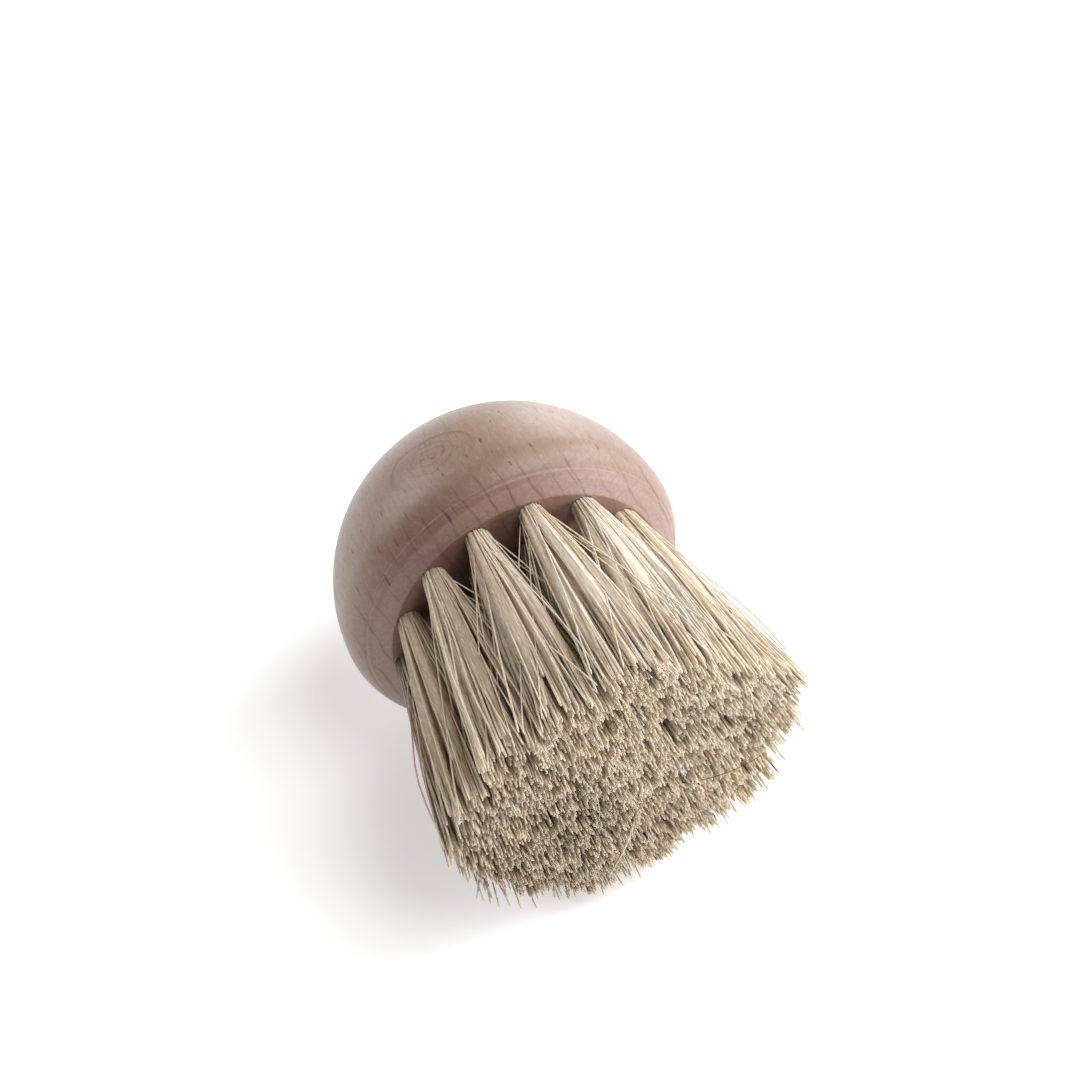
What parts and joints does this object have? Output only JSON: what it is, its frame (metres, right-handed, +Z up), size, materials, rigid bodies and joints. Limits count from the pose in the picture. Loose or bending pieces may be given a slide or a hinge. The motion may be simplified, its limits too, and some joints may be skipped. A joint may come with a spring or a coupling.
{
  "type": "round beard brush",
  "caption": "Round palm brush for a beard: a turned wooden knob with rings of pale natural bristle tufts, each held in a blind hole by a flat wire anchor.",
  "frame": {"origin": "on the surface the brush lies on, under the middle of its bounding box", "axes": "+Z up from the surface; +Y along the brush's axis towards the crown of the wooden knob, so the trimmed bristle tips face -Y; +X completes the right-handed frame. The first tuft of each ring stands at the top (+Z)"},
  "size_m": [0.056, 0.071, 0.056],
  "materials": {
    "beech": "satin",
    "bristle": "satin",
    "anchor_wire": "satin"
  },
  "bodies": {
    "root": {"handle": "beech", "tuft_outer_01": "bristle", "tuft_outer_02": "bristle", "tuft_outer_03": "bristle", "tuft_outer_04": "bristle", "tuft_outer_05": "bristle", "tuft_outer_06": "bristle", "tuft_outer_07": "bristle", "tuft_outer_08": "bristle", "tuft_outer_09": "bristle", "tuft_outer_10": "bristle", "tuft_outer_11": "bristle", "tuft_outer_12": "bristle", "tuft_outer_13": "bristle", "tuft_outer_14": "bristle", "tuft_outer_15": "bristle", "tuft_middle_01": "bristle", "tuft_middle_02": "bristle", "tuft_middle_03": "bristle", "tuft_middle_04": "bristle", "tuft_middle_05": "bristle", "tuft_middle_06": "bristle", "tuft_middle_07": "bristle", "tuft_middle_08": "bristle", "tuft_middle_09": "bristle", "tuft_middle_10": "bristle", "tuft_inner_01": "bristle", "tuft_inner_02": "bristle", "tuft_inner_03": "bristle", "tuft_inner_04": "bristle", "tuft_inner_05": "bristle", "tuft_centre": "bristle", "anchors_outer": "anchor_wire", "anchors_middle": "anchor_wire", "anchors_inner": "anchor_wire", "anchor_centre": "anchor_wire"}
  },
  "joints": []
}
